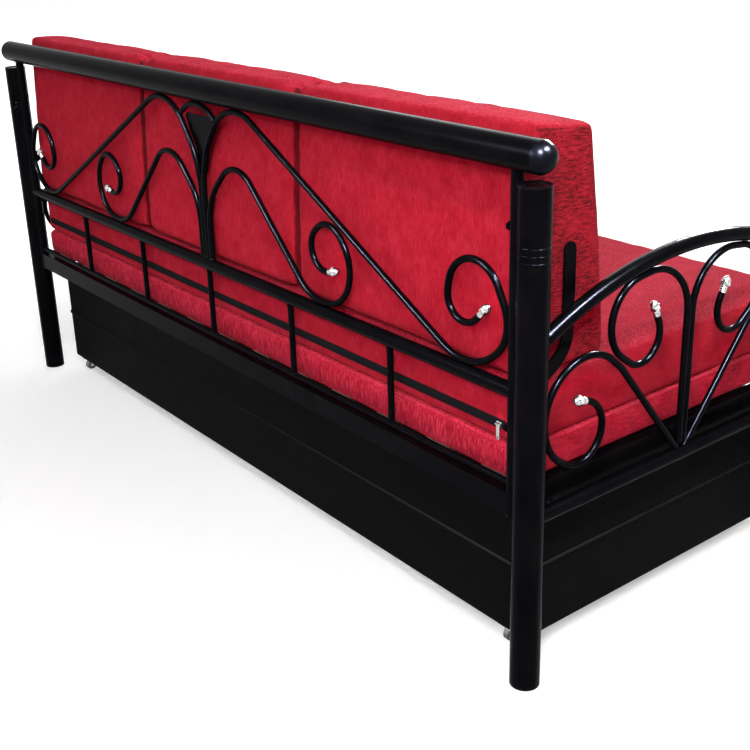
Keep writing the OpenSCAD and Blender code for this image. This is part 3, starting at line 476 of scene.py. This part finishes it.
def cushion(name, node, material, step, shape, pins, pressure, shrink, cap, after,
            seams=()):
    """A cover over a node's box: gridded at step, shaped, run as cloth and then creased by
    after."""
    low, high = (np.array(v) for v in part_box(node))
    extra = [s + d for s in seams for d in SEAM_STATIONS]
    lines = [stations(low[a], high[a], step, extra if a == 0 else ()) for a in range(3)]
    verts, faces = box_grid(lines)
    obj = new_object(name, shape(verts.copy(), low, high), faces)
    inflate(obj, pins(verts, low, high), pressure, shrink, cap)
    subdivide(obj)
    set_points(obj, after(points_of(obj), low, high))
    obj.data.shade_smooth()
    dress(obj, material)
    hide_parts(node)
    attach(obj, "frame")
    return obj


def fitted(co, low, high, a, b, r):
    """Takes points from the skin of the box low to high to that of the box a to b with edges
    of radius r. Also gives their places in it, -1 to 1 along each axis."""
    co = rounded(a + (co - low) / (high - low) * (b - a), a, b, r)
    return co, np.clip((co - (a + b) / 2) / ((b - a) / 2), -1, 1)


def height_share(co, low, high):
    return np.clip((co[:, 2] - low[2]) / (high[2] - low[2]), 0, 1)


def kept_in(co, low, high):
    return np.clip(co, low + BOX_GAP, high - [BOX_GAP, BOX_GAP, 0.0])


def on_side(co, axis, place):
    return np.abs(co[:, axis] - place) < ON_SKIN


def flat_shape(r, crown, inset, draw):
    """A flat cushion: crowned on top, with sides that pull in by draw between the seams."""
    def shape(co, low, high):
        a, b = low + [inset, inset, BOX_GAP], high - [inset, inset, crown + inset]
        co, share = fitted(co, low, high, a, b, r)
        pull = draw * (1 - share[:, 2] ** 4)
        for axis in (0, 1):
            co[:, axis] -= pull * share[:, axis] * np.abs(share[:, axis]) ** 12
        up = np.clip(share[:, 2], 0, 1)
        co[:, 2] += crown * up * (1 - share[:, 0] ** 6) * (1 - share[:, 1] ** 6)
        return co
    return shape


def flat_pins(co, low, high):
    """Holds the bottom, and less firmly the upper seam."""
    pins = np.zeros(len(co))
    side, end, level = (on_side(co, a, low[a]) | on_side(co, a, high[a]) for a in (1, 0, 2))
    pins[level & (side | end)] = 0.6
    pins[on_side(co, 2, low[2])] = 1.0
    return pins


def flat_after(ripple, seed, rear_limit):
    """Adds the slack of the cover, and keeps its rear behind rear_limit."""
    def after(co, low, high):
        lift = wave_noise(co, 5.5, seed) * ripple + wave_noise(co, 17, seed + 1) * ripple * 0.5
        co[:, 2] += lift * height_share(co, low, high) ** 4
        co[:, 1] -= np.abs(lift) * 0.6 * (co[:, 1] > high[1] - 0.03)
        co[:, 1] = np.minimum(co[:, 1], rear_limit(co[:, 2], high[1]))
        return kept_in(co, low, high)
    return after


def pad_rear(z, y):
    return y - REAR_GAP


tape_low, tape_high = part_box("zip_tape")
TAPE_MID = (tape_low[2] + tape_high[2]) / 2
TAPE_HALF = (tape_high[2] - tape_low[2]) / 2
# Distance of the mattress cover from the tape, and the height over which it bulges again
TAPE_GAP, TAPE_RISE = 0.0004, 0.012


def mattress_rear(z, y):
    """The tape lies on the cover, which bulges again above and below it."""
    over = np.clip((np.abs(z - TAPE_MID) - TAPE_HALF) / TAPE_RISE, 0, 1)
    return tape_low[1] - TAPE_GAP + (y - REAR_GAP - tape_low[1]) * over


cushion("lower_pad_cover", "lower_pad", RED_PILE, step=0.016,
        shape=flat_shape(r=0.012, crown=0.0, inset=0.0008, draw=0.002), pins=flat_pins,
        pressure=1.5, shrink=-0.004, cap=0.012, after=flat_after(0.0004, 3, pad_rear))
cushion("mattress_cover", "upper_mattress", RED_SEAT, step=0.016,
        shape=flat_shape(r=0.015, crown=0.009, inset=0.001, draw=0.004), pins=flat_pins,
        pressure=3.0, shrink=-0.004, cap=0.022, after=flat_after(0.0014, 5, mattress_rear))

# Back cushion: a wedge in three sections, thick at the foot
SEAMS = (-SECTION / 2, SECTION / 2)
TOP_T = 0.124
# How far the top of the rear side stands forward of its foot
LEAN, LEAN_CURVE = 0.023, 1.4
# How far the top falls from the rear to the front
DROP = 0.016
BACK_R = 0.011
# Depth of a sewn channel, half its width, and half the width of the slopes beside it
CHANNEL, CHANNEL_HALF, SLOPE_HALF = 0.014, 0.007, 0.026
# Puckers beside a channel: their reach, size outward and upward, and how far they sink
PUCKER_REACH, PUCKER_OUT, PUCKER_UP, PUCKER_SINK = 0.032, 0.02, 0.03, 0.008


def seam_gap(x):
    """Distance along the length to the nearest sewn channel."""
    return np.min([np.abs(x - s) for s in SEAMS], axis=0)


def wedge(co, low, high):
    foot_t = high[1] - low[1]
    up = height_share(co, low, high)
    lean = up ** LEAN_CURVE
    deep = (high[1] - co[:, 1]) / foot_t
    co[:, 1] = high[1] - lean * LEAN - deep * (foot_t + (TOP_T - foot_t) * lean)
    co[:, 2] -= deep * up * up * DROP
    return co


def back_shape(co, low, high):
    a, b = low + [0.001, 0.004, BOX_GAP], high - [0.001, 0.0015, 0.004]
    co, share = fitted(co, low, high, a, b, BACK_R)
    near = seam_gap(co[:, 0])
    slot = CHANNEL * (np.exp(-(near / CHANNEL_HALF) ** 2)
                      + 0.45 * np.exp(-(near / SLOPE_HALF) ** 2))
    front, rear = np.clip(-share[:, 1], 0, 1) ** 3, np.clip(share[:, 1], 0, 1) ** 3
    up, down = np.clip(share[:, 2], 0, 1) ** 6, np.clip(-share[:, 2], 0, 1) ** 6
    co[:, 1] += slot * (front - 0.85 * rear)
    co[:, 2] += slot * (0.9 * down - 0.8 * up)
    pull = 0.003 * (1 - share[:, 1] ** 4) * (1 - share[:, 2] ** 4)
    co[:, 0] -= pull * share[:, 0] * np.abs(share[:, 0]) ** 20
    return wedge(co, low, high)


def back_pins(co, low, high):
    """Holds the bottom and the channels, then the edges, and loosely the rear."""
    pins = np.zeros(len(co))
    rear = on_side(co, 1, high[1])
    long_side = rear | on_side(co, 1, low[1])
    end = on_side(co, 0, low[0]) | on_side(co, 0, high[0])
    top = on_side(co, 2, high[2])
    pins[rear] = 0.3
    pins[(end & long_side) | (top & long_side) | (top & end)] = 0.85
    pins[on_side(co, 2, low[2])] = 1.0
    pins[seam_gap(co[:, 0]) < 0.005] = 1.0
    return pins


def back_after(co, low, high):
    """Adds the puckers beside the channels and the slack of the cover."""
    near = seam_gap(co[:, 0])
    up = height_share(co, low, high)
    section = np.sign(co[:, 0]) * (1 + (np.abs(co[:, 0]) > SECTION / 2))
    round_way = np.arctan2(co[:, 2] - low[2] - 0.2, co[:, 1] - low[1] - 0.1)
    pucker = np.exp(-near / PUCKER_REACH) * (0.15 + 0.85 * up ** 3)
    fold = wave_noise(np.c_[round_way * 3.6, near * 8, section], 3.4, 11)
    rear = co[:, 1] > high[1] - LEAN - 0.03
    co[:, 1] += PUCKER_OUT * pucker * fold * np.where(rear, -0.3, 1)
    co[:, 2] += (PUCKER_UP * fold - PUCKER_SINK) * pucker * up ** 4
    lift = wave_noise(co, 6, 7) * 0.001 + wave_noise(co, 22, 8) * 0.0005
    co[:, 1] -= lift * np.where(rear, 0.15, 1)
    co[:, 2] += lift * up ** 6
    co[:, 1] = np.minimum(co[:, 1], high[1] - REAR_GAP - LEAN * up ** LEAN_CURVE)
    return kept_in(co, low, high)


cushion("back_cushion_cover", "back_cushion", RED_BACK, step=0.013, seams=SEAMS,
        shape=back_shape, pins=back_pins, pressure=3.0, shrink=-0.008, cap=0.022,
        after=back_after)


# ---------------------------------------------------------------- rigid details
def detail(name, verts, faces, slot, sharp=True):
    obj = new_object(name, verts, faces)
    if sharp:
        obj.data.set_sharp_from_angle(angle=SHARP)
    dress(obj, FINISHES[slot])
    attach(obj, "frame")
    return obj


def join(parts):
    """Makes one list of points and one of faces from several."""
    verts, faces, base = [], [], 0
    for v, f in parts:
        verts.append(np.asarray(v, float))
        faces += [tuple(i + base for i in face) for face in f]
        base += len(v)
    return np.vstack(verts), faces


def axes_about(axis):
    z = Vector(axis).normalized()
    x = z.orthogonal().normalized()
    return x, z.cross(x), z


def hexagon(a):
    """Reach of a hexagon round a circle of radius 1, at the angle a."""
    return 1 / math.cos((a + math.pi / 6) % (math.pi / 3) - math.pi / 6)


def lathe(profile, at, axis, sides=32, hexed=()):
    """A closed solid turned about axis. Each profile row is radius and height; the rows
    listed in hexed are hexagons around that radius."""
    x, y, z = axes_about(axis)
    verts = []
    for row, (r, h) in enumerate(profile):
        for i in range(sides):
            a = 2 * math.pi * i / sides
            k = hexagon(a) if row in hexed else 1.0
            verts.append(Vector(at) + z * h + (x * math.cos(a) + y * math.sin(a)) * r * k)

    def point(row, i):
        return row * sides + i % sides

    last = len(profile) - 1
    faces = [(point(row, i), point(row, i + 1), point(row + 1, i + 1), point(row + 1, i))
             for row in range(last) for i in range(sides)]
    faces.append(tuple(point(0, i) for i in range(sides - 1, -1, -1)))
    faces.append(tuple(point(last, i) for i in range(sides)))
    return verts, faces


def islands(obj):
    """Points, and the places and areas of the faces, of each loose piece of a mesh. Points
    at one place, to a hundredth of a millimetre, count as one."""
    co = points_of(obj)
    root = list(range(len(co)))

    def find(i):
        while root[i] != i:
            root[i] = root[root[i]]
            i = root[i]
        return i

    for e in obj.data.edges:
        root[find(e.vertices[0])] = find(e.vertices[1])
    seen = {}
    for i, p in enumerate(np.round(co, 5)):
        root[find(i)] = find(seen.setdefault(tuple(p), i))
    points, sides = {}, {}
    for i in range(len(co)):
        points.setdefault(find(i), []).append(i)
    for f in obj.data.polygons:
        sides.setdefault(find(f.vertices[0]), []).append((*f.center, f.area))
    return [(co[points[k]], np.array(sides[k])) for k in points]


# A nut's cap: radius and height above the collar, as shares of the nut's radius
NUT_DOME = ((1.01, 0.0), (0.99, 0.3), (0.88, 0.62), (0.68, 0.9), (0.42, 1.1), (0.15, 1.22),
            (0.02, 1.25))
NUT_RIBS = 3
# A rib's outline: metres above the sleeve, and share of its length
NUT_RIB = ((0.0001, 0.0), (0.0008, 0.3), (0.0008, 0.65), (0.0001, 0.95))


def nut_measures(co, sides):
    """Foot, axis, length, radius and sleeve radius of a domed nut. The axis runs along its
    greatest length, from the sleeve to the dome."""
    weight = sides[:, 3:]
    mid = (sides[:, :3] * weight).sum(0) / weight.sum()
    axis = np.linalg.svd((sides[:, :3] - mid) * np.sqrt(weight), full_matrices=False)[2][0]
    along = (co - mid) @ axis
    off = np.linalg.norm((co - mid) - np.outer(along, axis), axis=1)
    if off[along < along.min() + 0.002].min() < off[along > along.max() - 0.002].min():
        axis, along = -axis, -along
    foot = along.min()
    sleeve_r = off[along < foot + 0.003].max()
    return mid + axis * foot, axis, along.max() - foot, off.max(), sleeve_r


def nuts(name, node):
    """Hexagon collars with pointed caps and ribbed sleeves over the plain domed nuts."""
    parts = []
    for co, sides in islands(NODES[node]):
        at, axis, length, r, sleeve_r = nut_measures(co, sides)
        collar = length - 1.5 * r
        step = (collar - 0.6 * r) / NUT_RIBS
        ribs = [(sleeve_r * 0.6, 0.0002)]
        for k in range(NUT_RIBS):
            z = 0.0004 + k * step
            ribs += [(sleeve_r + lift, z + share * step) for lift, share in NUT_RIB]
        ribs.append((sleeve_r * 0.6, 0.0005 + NUT_RIBS * step))
        parts.append(lathe(ribs, at, axis))
        low, up = collar - 0.55 * r, collar + 0.45 * r
        hexed = [(0.86 * r, low), (r + 0.0003, low + 0.001), (r + 0.0003, up - 0.001),
                 (0.93 * r, up)]
        parts.append(lathe(hexed, at, axis, 24, hexed=(1, 2)))
        dome = [(0.9 * r, up - 0.002)] + [(share * r, up + h * r) for share, h in NUT_DOME]
        parts.append(lathe(dome, at, axis, 16))
    return detail(name, *join(parts), "chrome")


def bead(at, r, thick, seed):
    """An uneven weld bead round an upright rod of radius r."""
    x, y, z = axes_about((0, 0, 1))
    verts, around, ring = [], 26, 8
    for i in range(around):
        a = 2 * math.pi * i / around
        out = x * math.cos(a) + y * math.sin(a)
        t = thick * (1 + 0.3 * noise.noise(Vector((3 * math.cos(a), 3 * math.sin(a), seed))))
        for j in range(ring):
            b = 2 * math.pi * j / ring
            verts.append(Vector(at) + out * (r + t * math.cos(b)) + z * t * math.sin(b))
    faces = [(i * ring + j, (i + 1) % around * ring + j,
              (i + 1) % around * ring + (j + 1) % ring, i * ring + (j + 1) % ring)
             for i in range(around) for j in range(ring)]
    return verts, faces


BALUSTER_BEAD, LEG_BEAD = 0.0016, 0.0018


def weld_beads():
    """Beads where the balusters and the scrolls' legs meet the rails."""
    parts = []
    for co, _ in islands(NODES["balusters"]):
        low, high = co.min(0), co.max(0)
        (x, y, _), r = (low + high) / 2, (high[0] - low[0]) / 2
        parts.append(bead((x, y, low[2] + 0.001), r, BALUSTER_BEAD, x))
        parts.append(bead((x, y, high[2] - 0.004), r, BALUSTER_BEAD, x + 9))
    rail_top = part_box("lower_rail")[1][2]
    for node in ("outer_scroll_left", "outer_scroll_right", "inner_scroll_left",
                 "inner_scroll_right"):
        co = points_of(NODES[node])
        foot = co[(co[:, 2] < rail_top + 0.02) & (np.abs(co[:, 0]) < 0.05)]
        low, high = foot.min(0), foot.max(0)
        (x, y, _), r = (low + high) / 2, (high[0] - low[0]) / 2
        parts.append(bead((x, y, rail_top + 0.0016), r, LEG_BEAD, x * 90))
    return detail("weld_beads", *join(parts), "black_paint", sharp=False)


TOOTH_PITCH, TOOTH_W = 0.0028, 0.0017
# Reach of a tooth past the middle of the tape, on its own side and on the other
TOOTH_LONG, TOOTH_SHORT = 0.0026, 0.0012
# How far a tooth sits in the plain strip of the solid, and stands out of it
TOOTH_SUNK, TOOTH_PROUD = 0.0008, 0.00012
CUBE_FACES = [(0, 1, 3, 2), (4, 6, 7, 5), (0, 4, 5, 1), (2, 3, 7, 6), (0, 2, 6, 4),
              (1, 5, 7, 3)]


def zip_teeth():
    """Single teeth over the plain strip on the tape, from either side in turn."""
    parts = []
    x, lower = tape_low[0] + 0.001, False
    while x < tape_high[0] - 0.003:
        down, up = (TOOTH_LONG, TOOTH_SHORT) if lower else (TOOTH_SHORT, TOOTH_LONG)
        verts = [(a, b, c) for a in (x, x + TOOTH_W)
                 for b in (tape_high[1] - TOOTH_SUNK, tape_high[1] + TOOTH_PROUD)
                 for c in (TAPE_MID - down, TAPE_MID + up)]
        parts.append((verts, CUBE_FACES))
        x, lower = x + TOOTH_PITCH, not lower
    return detail("zip_teeth", *join(parts), "black_tape")


nuts("back_nuts", "back_finials")
nuts("arm_nuts", "arm_finials")
weld_beads()
zip_teeth()

# ---------------------------------------------------------------- floor and light
FLOOR_HALF = 14
# Share of white that the floor adds to its lit colour near the object, and the distances
# from the middle over which that share rises to 1
FLOOR_GLOW, GLOW_NEAR, GLOW_FAR = 0.4, 1.2, 3.2
# World light on the object, beside the lamps
FILL = 0.38
# Name, place, aim, side and watts
LAMPS = (
    ("key", (-1.9, 1.3, 2.7), (-0.5, 0.2, 0.5), 0.3, 30),
    ("arm", (-2.3, -0.3, 2.6), (-0.7, 0, 0.5), 0.3, 8),
    ("rear", (-2.33, 2.2, 2.0), (-0.3, 0.3, 0.5), 0.6, 44),
    ("front", (2.4, -2.8, 2.6), (0, 0, 0.5), 2.2, 60),
)
# Strips that only show as lines of light on paint and metal: name, place, aim, length, width
# and watts
STRIPS = (
    ("arm_strip", (-2.3, -0.2, 2.6), (-0.9, 0.1, 0.6), 0.8, 0.32, 2600),
    ("rod_strip", (-2.3, 1.55, 2.5), (-0.9, 0, 0.5), 0.4, 0.3, 2000),
    ("back_strip", (0.2, 2.85, 2.2), (-0.4, 0.37, 0.65), 1.3, 0.16, 1700),
    ("front_strip", (0.6, -3.0, 2.2), (0, -0.3, 0.5), 1.3, 0.2, 500),
)


def seen_white(tree):
    """1 for rays that the camera sees directly, in a mirror or through glass."""
    path = tree.nodes.new("ShaderNodeLightPath")
    value = path.outputs["Is Camera Ray"]
    for name in ("Is Glossy Ray", "Is Transmission Ray"):
        most = tree.nodes.new("ShaderNodeMath")
        most.operation = "MAXIMUM"
        tree.links.new(value, most.inputs[0])
        tree.links.new(path.outputs[name], most.inputs[1])
        value = most.outputs[0]
    return value


def floor_material():
    s = Shade("floor_pale")
    cloud = s.spread(s.noise(2.0, 3), 0.3, 0.7)
    tone = s.blend(cloud, (0.84, 0.84, 0.84, 1), (0.82, 0.82, 0.82, 1))
    away = s.node("ShaderNodeVectorMath", operation="LENGTH")
    s.put(away.inputs[0], s.at)
    own = s.spread(away.outputs["Value"], GLOW_NEAR, GLOW_FAR, FLOOR_GLOW, 1.0)
    glow = s.math("MULTIPLY", seen_white(s.tree), own)
    return s.finish(Base_Color=tone, Roughness=0.9, Specular_IOR_Level=0.0,
                    Emission_Color=(1, 1, 1, 1), Emission_Strength=glow)


def add_floor():
    h = FLOOR_HALF
    floor = new_object("floor", [(-h, -h, 0), (h, -h, 0), (h, h, 0), (-h, h, 0)],
                       [(0, 1, 2, 3)], smooth=False)
    dress(floor, floor_material())


def add_world():
    world = bpy.data.worlds.new("studio")
    bpy.context.scene.world = world
    world.use_nodes = True
    tree = world.node_tree
    back_light = tree.nodes["Background"]
    back_light.inputs["Color"].default_value = (1, 1, 1, 1)
    level = tree.nodes.new("ShaderNodeMapRange")
    tree.links.new(seen_white(tree), level.inputs["Value"])
    level.inputs["To Min"].default_value = FILL
    level.inputs["To Max"].default_value = 1.0
    tree.links.new(level.outputs["Result"], back_light.inputs["Strength"])


def add_lamp(name, at, aim, long, wide, watts):
    data = bpy.data.lights.new(name, "AREA")
    data.shape = "RECTANGLE"
    data.size, data.size_y = long, wide
    data.energy = watts
    lamp = bpy.data.objects.new(name, data)
    lamp.location = at
    lamp.rotation_mode = "QUATERNION"
    lamp.rotation_quaternion = (Vector(at) - Vector(aim)).to_track_quat("Z", "Y")
    bpy.context.scene.collection.objects.link(lamp)
    return lamp


add_floor()
add_world()
for name, at, aim, side, watts in LAMPS:
    add_lamp(name, at, aim, side, side, watts)
for strip in STRIPS:
    add_lamp(*strip).visible_diffuse = False
bpy.context.scene.view_settings.view_transform = "Standard"
